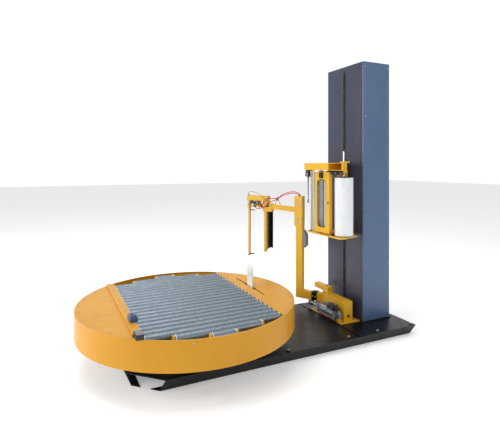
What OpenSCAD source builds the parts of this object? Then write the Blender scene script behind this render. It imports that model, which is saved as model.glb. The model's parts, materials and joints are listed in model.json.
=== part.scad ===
// Turntable pallet wrapper: a roller-topped turntable, a mast with a film carriage and a
// swing arm with a film wiper and cutter, all on one folded-plate base.
// Origin: floor level on the turntable's axis. +X runs along the base to the mast, +Z is up.
// All sizes are in millimetres.

/* [Turntable] */
// Radius of the drum
table_r = 825; // [823:1:827]
// Height of the deck and of the roller tops above the floor
deck_z = 427; // [425:1:430]
// Depth of the drum's skirt
skirt_h = 194; // [190:1:196]
// Half width of the roller bed
bed_x = 474; // [472:1:476]
// Radius of a conveyor roller
roller_r = 30; // [28:0.5:31]
// Distance between roller axes
roller_pitch = 71; // [68:1:71]
// Length of the slit that the film clamp folds into
slit_len = 560; // [552:1:570]

/* [Base] */
// Height of the base's top plate
base_z = 80; // [80:1:81]
// Left end of the base
base_x0 = -530; // [-534:1:-526]
// Right end of the base
base_x1 = 1880; // [1870:1:1900]
// Front edge of the base
base_y0 = -515; // [-520:1:-510]
// Rear edge of the base
base_y1 = 412; // [405:1:420]
// How far the sloping sides pull in towards the floor
base_taper = 36; // [30:1:40]
// Place of the bolted joint between table base and mast base
seam_x = 1279; // [1260:1:1281]

/* [Mast] */
// Height of the mast above the base
mast_h = 2300; // [2290:1:2320]
// Width of the mast across the base
mast_w = 532; // [528:1:536]
// Depth of the mast along the base
mast_d = 306; // [300:1:312]
// Width of the carriage slot in the mast's front
slot_w = 16; // [14:1:18]

/* [Film carriage] */
// Radius of a full film roll
film_r = 80.5; // [60:0.5:84]
// Height of the film roll
film_h = 500; // [480:5:500]
// Radius of the pre-stretch rollers
stretch_r = 30; // [26:0.5:31]

/* [Swing arm] */
// Direction of the arm at rest, seen from above
arm_angle = 120; // [118:1:121]
// Distance of the post from the arm's pivot
post_reach = 284; // [280:1:288]
// Height of the post's top
post_top = 1158; // [1100:1:1200]

/* [Hidden] */
$fn = 64;
ROLLERS = 22;
WHEELS = 3;
function numbered(name, i) = str(name, i < 10 ? "0" : "", i);

// fits
fit = 0.05;            // radial clearance of a running fit
gap = 0.3;             // free gap between pieces that move past each other
split = 0.2;           // gap that keeps the plates of one column separate

// base
sheet = 6;
rib = 8;
corner_cut = 228;      // legs of the cut corners at the left end
lip_w = 50;

// turntable, from the base upwards
skirt_z = deck_z - skirt_h;
skirt_t = 5;
lip_r = table_r - 10;
deck_t = 6;
axle_z = deck_z - roller_r;
journal_r = 8;
rail_t = 10;
beam_z0 = 239.3;
beam_z1 = 320;
hub_z0 = 200;
hub_z1 = 330;
stub_r = 45;
gear_module = 6;
gear_teeth = 90;
pinion_teeth = 15;
gear_z = 190;
gear_t = 25;
plate_z = gear_z + gear_t;
pinion_x = gear_module * (gear_teeth + pinion_teeth) / 2;
wheel_r = 62;
wheel_w = 40;
wheel_track_r = 430;
wheel_angle0 = 60;
wheel_z = 227 - wheel_r;
wheel_axle_r = 10;

// film clamp
paddle_x = 570;
paddle_y = 80;
paddle_w = 105;
paddle_t = 8;
paddle_pivot_z = 362;
paddle_top = 615;
slit_y0 = -190;

// mast
mast_x = 1507;
mast_y = -270;
panel_t = 4;
mast_corner = 12;
slot_y = -3;
mast_z1 = base_z + mast_h;
rail_y = [-100, 94];
sprocket_x = 1690;
sprocket_r = 38;
drive_z = 190;
idler_z = 2300;

// carriage
roll = [1329, -228];
plate_top = 846;
housing_z = [1418, 1482];
core_r = 38.1;
stretch_front = [1300, 74];
stretch_rear = [1345, 14];
stretch_module = 2.5;
stretch_teeth = [18, 42];
film_line = -53.13;    // direction from the front roller's axis to the rear one
exit_at = [1240, 158];
exit_r = 16;
roller_bottom = plate_top + 8;
roller_top = housing_z[0] - 8;
door_x = 1232;
door_y = [-148, 92];
door_z = [857, 1402];
door_pin = [door_x + 6, door_y[1] + 14];

// swing arm
pivot = [1400, 130];
pin_r = 15;
cyl_axis = [1308, -185, 140];
clevis_y = 268;
clevis_slack = 7;      // free play of the rod's eye round the arm's pin
post_w = 70;
post_t = 45;
sleeve_z = 861;
arm_z = [997, 1047];
bracket_r = [600, 708];  // ends of the bracket that holds the wiper
wiper_reach = 688;
cutter_reach = 893;
cutter_z = [512, 1089.7];
head_z = [1090, 1145];
ram_r = [716, 826];      // ends of the two small cylinders that push the cutter

// ---------- shared shapes ----------

module block(lo, hi) {
    translate(lo) cube(hi - lo);
}

module rod(r, z0, z1) {
    translate([0, 0, z0]) cylinder(r = r, h = z1 - z0);
}

module rod_x(r, x0, x1) {
    translate([x0, 0, 0]) rotate([0, 90, 0]) cylinder(r = r, h = x1 - x0);
}

module rod_y(r, y0, y1) {
    translate([0, y0, 0]) rotate([-90, 0, 0]) cylinder(r = r, h = y1 - y0);
}

module ring(r_out, r_in, z0, z1) {
    difference() {
        rod(r_out, z0, z1);
        rod(r_in, z0 - 1, z1 + 1);
    }
}

// A block whose four sides slope inwards towards the floor
module tapered(x0, x1, y0, y1, h, taper) {
    intersection() {
        translate([x0 - 1, 0, 0]) rotate([90, 0, 90]) linear_extrude(x1 - x0 + 2)
            polygon([[y0 + taper, 0], [y1 - taper, 0], [y1, h], [y0, h]]);
        translate([0, y1 + 1, 0]) rotate([90, 0, 0]) linear_extrude(y1 - y0 + 2)
            polygon([[x0 + taper, 0], [x1 - taper, 0], [x1, h], [x0, h]]);
    }
}

// A spur gear or sprocket outline with straight-sided teeth
module toothed(teeth, root, tip, root_share, tip_share) {
    step = 360 / teeth;
    polygon([for (i = [0:teeth - 1], p = [[root, -root_share], [tip, -tip_share],
                                          [tip, tip_share], [root, root_share]])
        let(a = (i + p[1]) * step) [p[0] * cos(a), p[0] * sin(a)]]);
}

// ---------- base ----------

module base_solid(inset) {
    tapered(base_x0 + inset, base_x1 - inset, base_y0 + inset, base_y1 - inset, base_z, base_taper);
}

module base_shell() {
    difference() {
        base_solid(0);
        difference() {
            intersection() {
                base_solid(sheet);
                block([base_x0, base_y0, -1], [base_x1, base_y1, base_z - sheet]);
            }
            base_ribs();
        }
        for (side = [0, 1]) translate([base_x0, side ? base_y1 : base_y0, -1])
            linear_extrude(base_z + 2) mirror([0, side]) polygon([
                [-1, -1], [-1, corner_cut], [0, corner_cut], [corner_cut, 0], [corner_cut, -1]]);
    }
}

module base_ribs() {
    for (x = [-250, 0, 250, 500, 760, 1020, seam_x, 1520, 1800])
        block([x - rib, base_y0, 0], [x + rib, base_y1, base_z]);
    for (y = [-260, 0, 200])
        block([-250, y - rib / 2, 0], [base_x1, y + rib / 2, base_z]);
    difference() {
        block([base_x0, base_y0, 0], [base_x1, base_y1, sheet]);
        block([base_x0 + base_taper + lip_w, base_y0 + base_taper + lip_w, -1],
              [base_x1 - base_taper - lip_w, base_y1 - base_taper - lip_w, sheet + 1]);
    }
    block([-60, -60, 0], [60, 60, sheet]);
}

module table_base() {
    color([0.06, 0.06, 0.07]) intersection() {
        base_shell();
        block([base_x0 - 1, base_y0 - 1, -1], [seam_x - 0.25, base_y1 + 1, base_z + 1]);
    }
}

module mast_base() {
    color([0.07, 0.07, 0.08]) intersection() {
        base_shell();
        block([seam_x + 0.25, base_y0 - 1, -1], [base_x1 + 1, base_y1 + 1, base_z + 1]);
    }
}

// ---------- turntable drive and bearings ----------

module center_bearing() {
    color("dimgray") {
        rod(110, base_z, base_z + 16);
        rod(60, base_z + 16, hub_z0 - gap);
        rod(stub_r, hub_z0 - gap, hub_z1);
    }
}

module ring_gear() {
    pitch_r = gear_module * gear_teeth / 2;
    color("slategray") translate([0, 0, gear_z]) linear_extrude(gear_t) difference() {
        toothed(gear_teeth, pitch_r - 7.5, pitch_r + 5.5, 0.34, 0.12);
        circle(r = 130);
    }
}

module drive_pinion() {
    pitch_r = gear_module * pinion_teeth / 2;
    color("silver") translate([pinion_x, 0, 0]) {
        translate([0, 0, gear_z]) linear_extrude(gear_t)
            rotate(180 + 180 / pinion_teeth)
                toothed(pinion_teeth, pitch_r - 7.5, pitch_r + 5.5, 0.32, 0.11);
        rod(20, base_z + 100, gear_z);
        rod(12, base_z + 60, base_z + 100);
    }
}

module table_gearmotor() {
    motor_x = pinion_x + 75;
    color("steelblue") difference() {
        union() {
            block([pinion_x - 65, -65, base_z], [motor_x, 65, base_z + 90]);
            translate([pinion_x, 0, 0]) rod(34, base_z + 90, base_z + 99);
            translate([0, 0, base_z + 48]) rod_x(44, motor_x, motor_x + 190);
            for (i = [0:8]) translate([16 * i, 0, base_z + 48])
                rod_x(47.5, motor_x + 20, motor_x + 28);
        }
        translate([pinion_x, 0, 0]) rod(12 + fit, base_z + 58, base_z + 100);
    }
}

module at_wheel(i) {
    rotate(wheel_angle0 + 360 / WHEELS * (i - 1)) translate([wheel_track_r, 0, wheel_z]) children();
}

module support_wheel(i) {
    color("orangered") at_wheel(i) difference() {
        rod_x(wheel_r, -wheel_w / 2, wheel_w / 2);
        rod_x(wheel_axle_r + fit, -wheel_w, wheel_w);
    }
}

module wheel_brackets() {
    color("gray") for (i = [1:WHEELS]) at_wheel(i) {
        rod_x(wheel_axle_r, -wheel_w / 2 - 10, wheel_w / 2 + 10);
        for (s = [-1, 1]) translate([s * (wheel_w / 2 + 6), 0, 0]) {
            rod_x(24, -4, 4);
            block([-4, -30, base_z - wheel_z], [4, 30, 0]);
            block([-4, -45, base_z - wheel_z], [4, 45, base_z - wheel_z + 30]);
        }
        block([-wheel_w / 2 - 10, -45, base_z - wheel_z], [wheel_w / 2 + 10, 45, base_z - wheel_z + 8]);
    }
}

// ---------- turntable ----------

module table_skirt() {
    color("gold") {
        ring(table_r, table_r - skirt_t, skirt_z, deck_z);
        ring(table_r - 1, lip_r, deck_z - 5, deck_z);
        ring(table_r - 1, table_r - 45, skirt_z, skirt_z + 5);
    }
}

// The beams are channels, open underneath
module beams(wall) {
    r = table_r - skirt_t;
    z = [beam_z0 - (wall > 0 ? 1 : 0), beam_z1 - wall];
    for (x = [-260, 260]) block([x - 40 + wall, -r, z[0]], [x + 40 - wall, r, z[1]]);
    for (y = [-560, -300, 300, 560]) block([-r, y - 30 + wall, z[0]], [r, y + 30 - wall, z[1]]);
    block([-260, -60 + wall, z[0]], [260, 60 - wall, z[1]]);
}

module table_frame() {
    color("goldenrod") difference() {
        union() {
            ring(85, stub_r + fit, hub_z0, hub_z1);
            ring(170, 130, plate_z, 228);
            ring(300, 85, 227 + gap, beam_z0);
            ring(465, 395, 227 + gap, beam_z0);
            intersection() {
                rod(table_r - skirt_t, skirt_z, deck_z);
                union() {
                    difference() {
                        beams(0);
                        beams(6);
                    }
                    for (s = [-1, 1]) block([s > 0 ? bed_x : -bed_x - rail_t, -660, beam_z1],
                        [s > 0 ? bed_x + rail_t : -bed_x, 660, deck_z - deck_t]);
                }
            }
        }
        rod(stub_r + fit, hub_z0 - 1, hub_z1 + 1);
        for (i = [1:ROLLERS]) if (half_len(i) > bed_x - 10)
            translate([0, roller_y(i), axle_z]) rod_x(journal_r + fit, -bed_x - 30, bed_x + 30);
    }
}

module deck_segment(side) {
    intersection() {
        rod(lip_r - gap, deck_z - deck_t, deck_z);
        block([side > 0 ? bed_x + 1 : -table_r, -table_r, 0],
              [side > 0 ? table_r : -bed_x - 1, table_r, deck_z]);
    }
}

module deck_left() {
    color("gold") {
        deck_segment(-1);
        block([-bed_x - 60, -588, deck_z], [-bed_x - 2, 636, deck_z + 12]);
    }
}

module deck_right() {
    color("gold") difference() {
        union() {
            deck_segment(1);
            for (s = [-1, 1]) translate([paddle_x + s * 20, paddle_y, 0]) {
                translate([0, 0, paddle_pivot_z]) rod_x(18, -5, 5);
                block([-5, -18, paddle_pivot_z], [5, 18, deck_z - deck_t]);
                block([-5, -40, deck_z - deck_t - 20], [5, 40, deck_z - deck_t]);
            }
        }
        block([paddle_x - 7, slit_y0, deck_z - 10], [paddle_x + 7, slit_y0 + slit_len, deck_z + 1]);
        block([paddle_x - 14, -26, deck_z - deck_t - 0.01], [paddle_x + 14, 182, deck_z + 1]);
        translate([0, paddle_y, paddle_pivot_z]) rod_x(8 + fit, paddle_x - 30, paddle_x + 30);
    }
}

module clamp_paddle() {
    color("whitesmoke") translate([0, paddle_y, 0]) {
        translate([paddle_x - paddle_t / 2, 0, paddle_top - paddle_w / 2])
            rod_x(paddle_w / 2, 0, paddle_t);
        block([paddle_x - paddle_t / 2, -paddle_w / 2, paddle_pivot_z + 20],
              [paddle_x + paddle_t / 2, paddle_w / 2, paddle_top - paddle_w / 2]);
        translate([paddle_x, 0, paddle_pivot_z]) {
            rod_x(30, -paddle_t / 2, paddle_t / 2);
            rod_x(14, -14, 14);
            rod_x(8, -26, 26);
        }
    }
}

function roller_y(i) = (i - (ROLLERS + 1) / 2) * roller_pitch;
function half_len(i) = let(y = abs(roller_y(i))) y < 640 ? 468 : y < 710 ? 292 : 78;

// A hollow roller tube with closed ends and hollow journals
module roller(i) {
    half = half_len(i);
    reach = half + 5 + rail_t;
    color("lightsteelblue") translate([0, roller_y(i), axle_z]) difference() {
        union() {
            rod_x(roller_r, -half, half);
            rod_x(journal_r, -reach, reach);
        }
        rod_x(roller_r - 4, 8 - half, half - 8);
        rod_x(4, -reach - 1, reach + 1);
    }
}

// Triangular plates that carry the journals of the four short rollers
module roller_brackets() {
    color("gold") for (i = [1:ROLLERS]) if (half_len(i) < 400) for (s = [-1, 1]) {
        y = roller_y(i);
        x = s * (half_len(i) + 11);
        translate([x, y, axle_z]) difference() {
            union() {
                translate([-5, 0, 0]) rotate([90, 0, 90]) linear_extrude(10)
                    polygon([[-52, -70], [52, -70], [16, 24], [-16, 24]]);
                block([-5, -52, beam_z1 - axle_z], [5, 52, -70]);
            }
            rod_x(journal_r + fit, -20, 20);
        }
        tie = y > 0 ? [530, y + 52] : [y - 52, -530];
        block([x - 14, tie[0], beam_z1], [x + 14, tie[1], beam_z1 + 7]);
    }
}

// ---------- mast ----------

// One side of the mast with its two rounded corners, along the X axis
module mast_side() {
    difference() {
        union() {
            block([mast_x + mast_corner, mast_y, base_z],
                  [mast_x + mast_d - mast_corner, mast_y + mast_corner, mast_z1 - 4]);
            for (x = [mast_x + mast_corner, mast_x + mast_d - mast_corner])
                translate([x, mast_y + mast_corner, 0]) rod(mast_corner, base_z, mast_z1 - 4);
        }
        block([mast_x + mast_corner, mast_y + panel_t, base_z - 1],
              [mast_x + mast_d - mast_corner, mast_y + mast_corner + 1, mast_z1]);
        for (x = [mast_x + mast_corner, mast_x + mast_d - mast_corner])
            translate([x, mast_y + mast_corner, 0]) rod(mast_corner - panel_t, base_z - 1, mast_z1);
        block([mast_x - 1, mast_y + mast_corner, base_z - 1],
              [mast_x + mast_d + 1, mast_y + 3 * mast_corner, mast_z1]);
    }
}

module mast_column() {
    y0 = mast_y + mast_corner + split;
    y1 = mast_y + mast_w - mast_corner - split;
    color("slateblue") {
        mast_side();
        translate([0, 2 * mast_y + mast_w, 0]) mirror([0, 1, 0]) mast_side();
        block([mast_x, y0, base_z], [mast_x + panel_t, slot_y - slot_w / 2, mast_z1 - 40]);
        block([mast_x, slot_y + slot_w / 2, base_z], [mast_x + panel_t, y1, mast_z1 - 40]);
        block([mast_x, y0, mast_z1 - 40 + split], [mast_x + panel_t, y1, mast_z1 - 4]);
    }
}

module mast_covers() {
    y0 = mast_y + mast_corner + split;
    y1 = mast_y + mast_w - mast_corner - split;
    color("darkslateblue") {
        block([mast_x + mast_d - panel_t, y0, base_z + 1], [mast_x + mast_d, y1, mast_z1 - 5]);
        translate([mast_x, mast_y, mast_z1 - 4 + split]) linear_extrude(4 - split) {
            translate([mast_corner, 0]) square([mast_d - 2 * mast_corner, mast_w]);
            translate([0, mast_corner]) square([mast_d, mast_w - 2 * mast_corner]);
            for (x = [mast_corner, mast_d - mast_corner], y = [mast_corner, mast_w - mast_corner])
                translate([x, y]) circle(r = mast_corner);
        }
    }
}

// Foot plate, two guide channels and the bearers of the upper sprocket
module mast_inner_frame() {
    color("dimgray") {
        block([mast_x + 6, mast_y + 6, base_z],
              [mast_x + mast_d - 6, mast_y + mast_w - 6, base_z + 10]);
        for (s = [0, 1]) {
            y = rail_y[s];
            side = s == 0 ? 1 : -1;
            difference() {
                block([1530, min(y - 6, y + side * 24), base_z + 10],
                      [1586, max(y + 6, y + side * 24), mast_z1 - 40]);
                block([1536, min(y + side * 6, y + side * 30), base_z + 9],
                      [1580, max(y + side * 6, y + side * 30), mast_z1]);
            }
            block([1586, y - 6, idler_z - 40], [sprocket_x + 40, y + 6, idler_z + 40]);
        }
        translate([sprocket_x, 0, idler_z]) rod_y(11, rail_y[0], rail_y[1]);
    }
}

module sprocket(z, bore) {
    color("silver") translate([sprocket_x, slot_y + 4, z]) rotate([90, 0, 0]) difference() {
        union() {
            linear_extrude(8) toothed(19, sprocket_r - 4, sprocket_r + 3, 0.3, 0.1);
            translate([0, 0, -8]) cylinder(r = 22, h = 24);
        }
        translate([0, 0, -9]) cylinder(r = bore, h = 26);
    }
}

module lift_gearmotor() {
    color("steelblue") {
        block([sprocket_x - 60, 30, base_z + 10], [sprocket_x + 60, 150, drive_z + 60]);
        translate([sprocket_x, 0, drive_z]) rod_y(11, -25, 30);
        translate([sprocket_x, 90, 0]) rod(50, drive_z + 60, drive_z + 220);
    }
}

// ---------- film carriage ----------

module carriage_frame() {
    z0 = plate_top + gap;
    color("gold") {
        block([1470, -70, z0], [1476, 62, housing_z[0] - gap]);
        for (y = [-70, 56]) block([1476, y, z0], [1498, y + 6, housing_z[0] - gap]);
        block([1476, slot_y - 4, z0 + 20], [1592, slot_y + 4, housing_z[0] - 30]);
        for (z = [z0 + 40, housing_z[0] - 150], y = [slot_y - 84, slot_y + 4])
            block([1540, y, z], [1576, y + 80, z + 90]);
        block([1592, slot_y - 10, 1200], [sprocket_x - sprocket_r - 4, slot_y + 10, 1260]);
    }
}

module carriage_bottom_plate() {
    color("gold") {
        difference() {
            translate([0, 0, plate_top - 8]) linear_extrude(8)
                polygon([[1203, 150], [1203, -338], [1250, -338], [1440, -271], [1500, -120],
                         [1500, 60], [1400, 196], [1228, 196]]);
            for (p = [stretch_front, stretch_rear])
                translate([p[0], p[1], 0]) rod(12 + fit, plate_top - 9, plate_top + 1);
        }
        translate([roll[0], roll[1], 0]) {
            rod(52, plate_top, film_z0() - gap);
            rod(core_r - fit, film_z0() - gap, film_z0() + 60);
        }
        translate([exit_at[0], exit_at[1], 0]) rod(7, plate_top, plate_top + 20);
        translate([door_pin[0], door_pin[1], 0]) {
            rod(6, plate_top, housing_z[0] - gap);
            rod(9, plate_top, door_z[0] - gap);
        }
    }
}

function film_z0() = plate_top + 8;

// The far part of the housing is closed in front; its near part is an open recess
module carriage_top_housing() {
    z0 = housing_z[0];
    z1 = housing_z[1];
    outside = [[1203, -384], [1500, 0], [1500, 212], [1203, 212]];
    inside = [[1207, -372.3], [1496, 1.3], [1496, 208], [1207, 208]];
    recess_y = [-362, -168];
    color("gold") difference() {
        union() {
            difference() {
                translate([0, 0, z0]) linear_extrude(z1 - z0) polygon(outside);
                translate([0, 0, z0 + 4]) linear_extrude(z1 - z0 - 8) polygon(inside);
                block([1202, recess_y[0], z0 + 4], [1208, recess_y[1], z1 - 4]);
            }
            block([1203, recess_y[1] - 4, z0], [1365, recess_y[1], z1]);
            translate([roll[0], roll[1], 0]) rod(26, z0 - 22, z1 + 14);
            translate([exit_at[0], exit_at[1], 0]) rod(7, z0 - 20, z0);
        }
        translate([roll[0], roll[1], 0]) rod(9 + fit, z0 - 23, z1 + 15);
        for (p = [stretch_front, stretch_rear])
            translate([p[0], p[1], 0]) rod(12 + fit, z0 - 1, z0 + 5);
    }
}

// Sheet-metal door with folded edges, a long window and a hinge sleeve
module carriage_door() {
    y0 = door_y[0];
    y1 = door_y[1];
    z0 = door_z[0];
    z1 = door_z[1];
    color("gold") difference() {
        union() {
            difference() {
                block([door_x, y0, z0], [door_x + 30, y1, z1]);
                block([door_x + 3, y0 + 3, z0 + 3], [door_x + 31, y1 - 3, z1 - 3]);
            }
            block([door_x, y1 - 1, z0], [door_x + 3, y1 + 14, z1]);
            translate([door_pin[0], door_pin[1], 0]) rod(10, z0, z1);
        }
        translate([door_pin[0], door_pin[1], 0]) rod(6 + fit, z0 - 1, z1 + 1);
        translate([door_x - 1, 0, 0]) rotate([90, 0, 90]) linear_extrude(6) window();
    }
}

module window() {
    y = [-92, 38];
    z = [905, 1332];
    r = 40;
    translate([y[0], z[0] + r]) square([y[1] - y[0], z[1] - z[0] - 2 * r]);
    translate([y[0] + r, z[0]]) square([y[1] - y[0] - 2 * r, z[1] - z[0]]);
    for (u = [y[0] + r, y[1] - r], v = [z[0] + r, z[1] - r]) translate([u, v]) circle(r = r);
}

module film_roll() {
    color("white") translate([roll[0], roll[1], 0]) {
        ring(film_r, core_r, film_z0(), film_z0() + film_h);
    }
}

// Chrome spindle that drops into the top of the film core
module top_mandrel() {
    z = film_z0() + film_h;
    color("silver") translate([roll[0], roll[1], 0]) {
        rod(9, z, 1582);
        rod(core_r - fit, z - 18, z + 1);
        rod(50, z + gap, z + 8);
    }
}

// A rubber-faced roller with its gear inside the top housing
module stretch_roller(at, teeth, turn, shade) {
    pitch_r = stretch_module * teeth / 2;
    color(shade) translate([at[0], at[1], 0]) {
        rod(stretch_r, roller_bottom, roller_top);
        rod(12, plate_top - 8, housing_z[0] + 24);
        translate([0, 0, housing_z[0] + 8]) linear_extrude(16) rotate(turn)
            toothed(teeth, pitch_r - 3.1, pitch_r + 2.2, 0.33, 0.12);
    }
}

module exit_roller() {
    color("white") translate([exit_at[0], exit_at[1], 0]) difference() {
        rod(exit_r, plate_top + gap, housing_z[0] - gap);
        rod(7 + fit, plate_top - 1, plate_top + 21);
        rod(7 + fit, housing_z[0] - 21, housing_z[0] + 1);
        rod(4, plate_top - 1, housing_z[0] + 1);
    }
}

// ---------- swing arm ----------

module pivot_housing() {
    top = 256;
    color("goldenrod") difference() {
        union() {
            difference() {
                translate([0, 0, base_z]) linear_extrude(8)
                    polygon([[1290, -235], [1498, -235], [1498, 225], [1282, 225]]);
                block([1298, 80, base_z - 1], [1310, 205, base_z + 9]);
            }
            difference() {
                block([1352, -200, base_z + 8], [1444, 90, top]);
                block([1358, -194, base_z + 7], [1438, 84, top - 6]);
                hull() for (y = [-130, 10])
                    translate([0, y, 150]) rod_x(40, 1340, 1365);
                block([1340, -170, base_z + 7], [1365, 50, 150]);
            }
            block([1371, 70, top - 6], [1429, 92, 316]);
            block([1371, 90, top], [1429, 150, 316]);
            block([1371, 148, 272], [1429, 290, 316]);
            translate([pivot[0], pivot[1], 0]) rod(pin_r, base_z + 8, 286);
            translate([pivot[0], pivot[1], 0]) rod(38, base_z + 8, 150 - gap);
            translate([cyl_axis[0], cyl_axis[1], 0]) {
                rod(22, base_z + 8, cyl_axis[2] - 26);
                rod(8, cyl_axis[2] - 26, cyl_axis[2] + 34);
            }
        }
    }
}

module arm_frame() {
    translate([pivot[0], pivot[1], 0]) rotate(arm_angle) children();
}

module swing_arm() {
    r0 = post_reach - post_w / 2;
    r1 = post_reach + post_w / 2;
    color("gold") difference() {
        union() {
            arm_frame() {
                rod(36, 150, 250);
                block([0, -25, 160], [r1, 25, 240]);
                block([r0, -post_t / 2, 160], [r1, post_t / 2, post_top - 8]);
                block([r0 - 6, -18, 640], [r0, 18, 850]);
            }
            translate([cyl_axis[0], clevis_y, 0]) rod(6, cyl_axis[2] - 16, 162);
        }
        translate([pivot[0], pivot[1], 0]) rod(pin_r + fit, 149, 251);
        arm_frame() {
            block([r0 + 3, -post_t / 2 + 3, 200], [r1 - 3, post_t / 2 - 3, post_top - 12]);
            block([44, -22, 163], [r0 + 4, 22, 237]);
            translate([post_reach, 0, 0]) rod(11, post_top - 14, post_top);
        }
    }
}

// The arm rises a little towards its head
module arm_box(half, wall, more) {
    r0 = post_reach + post_w / 2 + 16;
    r1 = bracket_r[0] + 4;
    translate([0, half, 0]) rotate([90, 0, 0]) linear_extrude(2 * half)
        polygon([[r0 - 1 - 5 * more, arm_z[0] + wall], [r1 - 6 * more, arm_z[0] + 16 + wall],
                 [r1 - 6 * more, arm_z[1] + 13 - wall], [r0 - 1 - 5 * more, arm_z[1] - wall]]);
}

module top_arm() {
    r0 = post_reach - post_w / 2;
    r1 = post_reach + post_w / 2;
    head_r = cutter_reach + 15;
    color("gold") arm_frame() difference() {
        union() {
            difference() {
                block([r0 - 3.2, -post_t / 2 - 3.2, sleeve_z],
                      [r1 + 16, post_t / 2 + 3.2, post_top]);
                block([r0 - 0.2, -post_t / 2 - 0.2, sleeve_z - 1],
                      [r1 + 0.2, post_t / 2 + 0.2, post_top - 7.8]);
            }
            difference() {
                arm_box(20, 0, 0);
                arm_box(17, 3, 1);
            }
            block([bracket_r[0], -26, 985], [bracket_r[0] + 8, 26, 1066]);
            block([bracket_r[0], -26, 985], [bracket_r[1], 26, 993]);
            block([bracket_r[0], -26, 1058], [bracket_r[1], 26, 1066]);
            block([bracket_r[0], 22, 985], [bracket_r[1], 26, 1066]);
            block([650, -26, 1060], [bracket_r[1], 26, head_z[0] + 4]);
            difference() {
                block([650, -26, head_z[0]], [head_r, 26, head_z[1]]);
                block([bracket_r[1] + 4, -22, head_z[0] - 1], [head_r - 4, 22, head_z[1] - 4]);
            }
            for (y = [-14, 14]) translate([0, y, 1034]) rod_x(10, ram_r[0], ram_r[1]);
            block([ram_r[0] + 40, -26, 1020], [ram_r[0] + 54, 26, head_z[0] + 2]);
        }
        translate([post_reach, 0, 0]) rod(11, post_top - 9, post_top + 1);
        translate([wiper_reach, 0, 0]) rod(6 + fit, 984, 994);
        translate([0, 0, 1030]) rod_x(10, bracket_r[0] - 12, bracket_r[0] + 12);
        for (y = [-14, 14]) translate([0, y, 1034]) rod_x(5 + fit, ram_r[0] + 10, ram_r[1] + 1);
    }
}

module arm_cylinder() {
    color("silver") translate([cyl_axis[0], cyl_axis[1], cyl_axis[2]]) difference() {
        union() {
            block([-16, -18, -20], [16, 25, 20]);
            rod(18, -26 + gap, 30);
            rod_y(34, 25, 270);
            for (y = [25, 262]) block([-38, y, -38], [38, y + 26, 38]);
            for (x = [-30, 30], z = [-30, 30]) translate([x, 0, z]) rod_y(4, 40, 275);
        }
        rod(8 + fit, -40, 40);
        rod_y(7 + fit, 60, 300);
    }
}

module cylinder_rod() {
    rod_y0 = cyl_axis[1] + 175;
    color("silver") translate([cyl_axis[0], 0, cyl_axis[2]]) {
        rod_y(7, rod_y0, clevis_y - 18);
        rod_y(11, clevis_y - 40, clevis_y - 16);
        translate([0, clevis_y, 0]) ring(21, 6 + clevis_slack, -12, 12);
    }
}

// A square bar with a wide rubber blade whose free edge is folded back
module wiper_panel() {
    z0 = 572;
    z1 = 984;
    color("gold") arm_frame() translate([wiper_reach, 0, 0]) {
        block([-13, -13, z0], [13, 13, z1]);
        rod(6, z1 - 1, 995);
        rod(9, 993 + gap, 1000);
        translate([0, 0, z0 + 4]) linear_extrude(z1 - z0 - 8)
            polygon([[-4, 0], [43.5, -168.7], [8, -148.5], [4, -155.5], [52, -182.5],
                     [56, -180], [4, 0]]);
    }
}

module cutter_rod() {
    z0 = cutter_z[0];
    z1 = cutter_z[1];
    color("gold") arm_frame() {
        block([cutter_reach - 10, -10, z0], [cutter_reach + 10, 10, z1]);
        block([cutter_reach - 10, -24, 1012], [cutter_reach + 10, 24, 1056]);
        for (y = [-14, 14])
            translate([0, y, 1034]) rod_x(5, ram_r[0] + 14, cutter_reach);
        translate([0, 0, z0 + 12]) rod_x(4, cutter_reach - 62, cutter_reach);
        translate([cutter_reach - 58, 0, 0]) rod(3, z0 + 12, z0 + 30);
    }
}

table_skirt();
table_frame();
deck_left();
deck_right();
roller_brackets();
clamp_paddle();
ring_gear();
center_bearing();
table_gearmotor();
drive_pinion();
wheel_brackets();
table_base();
mast_base();
mast_column();
mast_covers();
mast_inner_frame();
lift_gearmotor();
sprocket(drive_z, 11 + fit);  // drive_sprocket
sprocket(idler_z, 11 + fit);  // idler_sprocket
carriage_frame();
carriage_top_housing();
carriage_bottom_plate();
carriage_door();
film_roll();
top_mandrel();
stretch_roller(  // stretch_roller_front
    stretch_front, stretch_teeth[0], film_line, "whitesmoke");
stretch_roller(  // stretch_roller_rear
    stretch_rear, stretch_teeth[1], film_line + 180 + 180 / stretch_teeth[1], "dimgray");
exit_roller();
pivot_housing();
swing_arm();
top_arm();
arm_cylinder();
cylinder_rod();
wiper_panel();
cutter_rod();
for (i = [1:ROLLERS]) roller(i);
for (i = [1:WHEELS]) support_wheel(i);
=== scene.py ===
"""Turntable pallet wrapper: camera, hoses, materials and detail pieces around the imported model.

Lengths in this file are millimetres in the row frame (+X along the base to the mast, +Z up),
and Piece and line_piece() turn them into metres. Pieces on the swing arm are built in the arm's own
frame: X along the arm from its pivot, Y across it, Z up.
"""

import json
import math

import bmesh
import bpy
from mathutils import Matrix, Vector


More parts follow.
